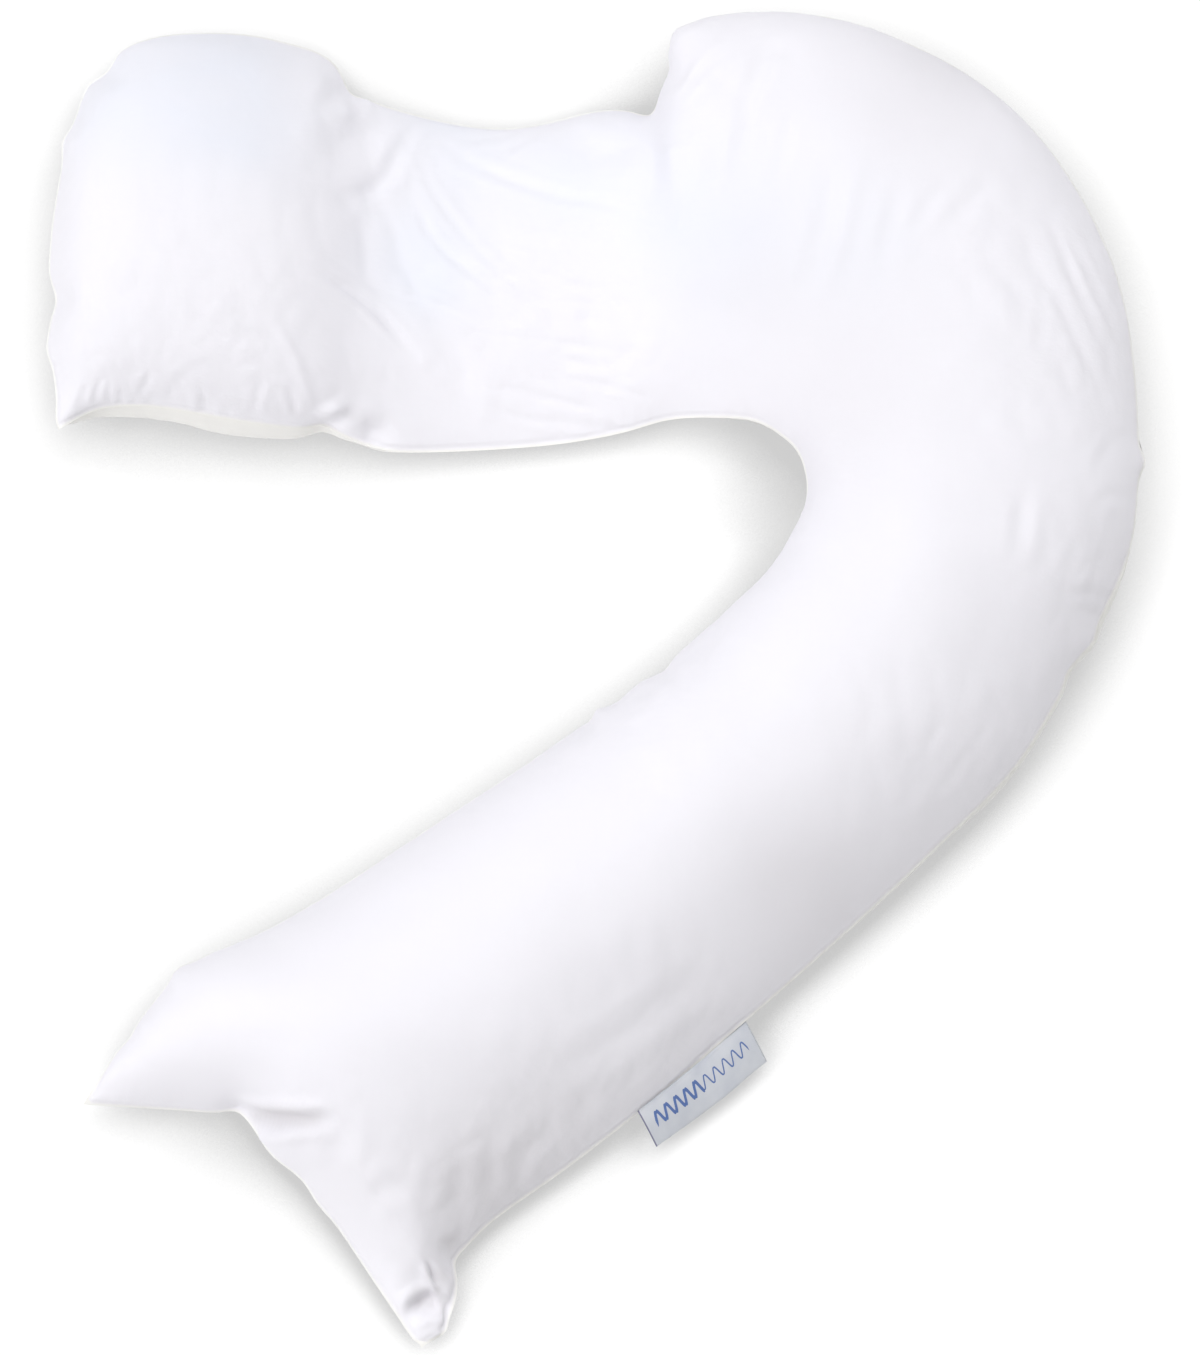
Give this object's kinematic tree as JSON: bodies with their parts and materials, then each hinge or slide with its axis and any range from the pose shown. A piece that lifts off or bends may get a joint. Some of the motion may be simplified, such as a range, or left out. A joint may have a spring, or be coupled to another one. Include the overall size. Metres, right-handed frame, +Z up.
{
  "type": "full length support pillow",
  "caption": "Curved full length body pillow with a filled bump pad, a slack flat waist panel, a fat bent tube and a drawn-in two-pointed tail.",
  "frame": {"origin": "middle of the overall box, on the floor that the pillow lies on", "axes": "+Y along the longest side, from the tail towards the bump pad and the head of the tube; +X from the pad towards the bend; +Z up, out of the face that is seen from above"},
  "size_m": [0.9904, 1.2401, 0.1839],
  "materials": {
    "white_cotton": "smooth plain woven white cotton, matt",
    "white_satin": "woven satin tape, soft sheen, pale blue grey"
  },
  "bodies": {
    "root": {"pillow": "white_cotton", "label": "white_satin"}
  },
  "joints": []
}
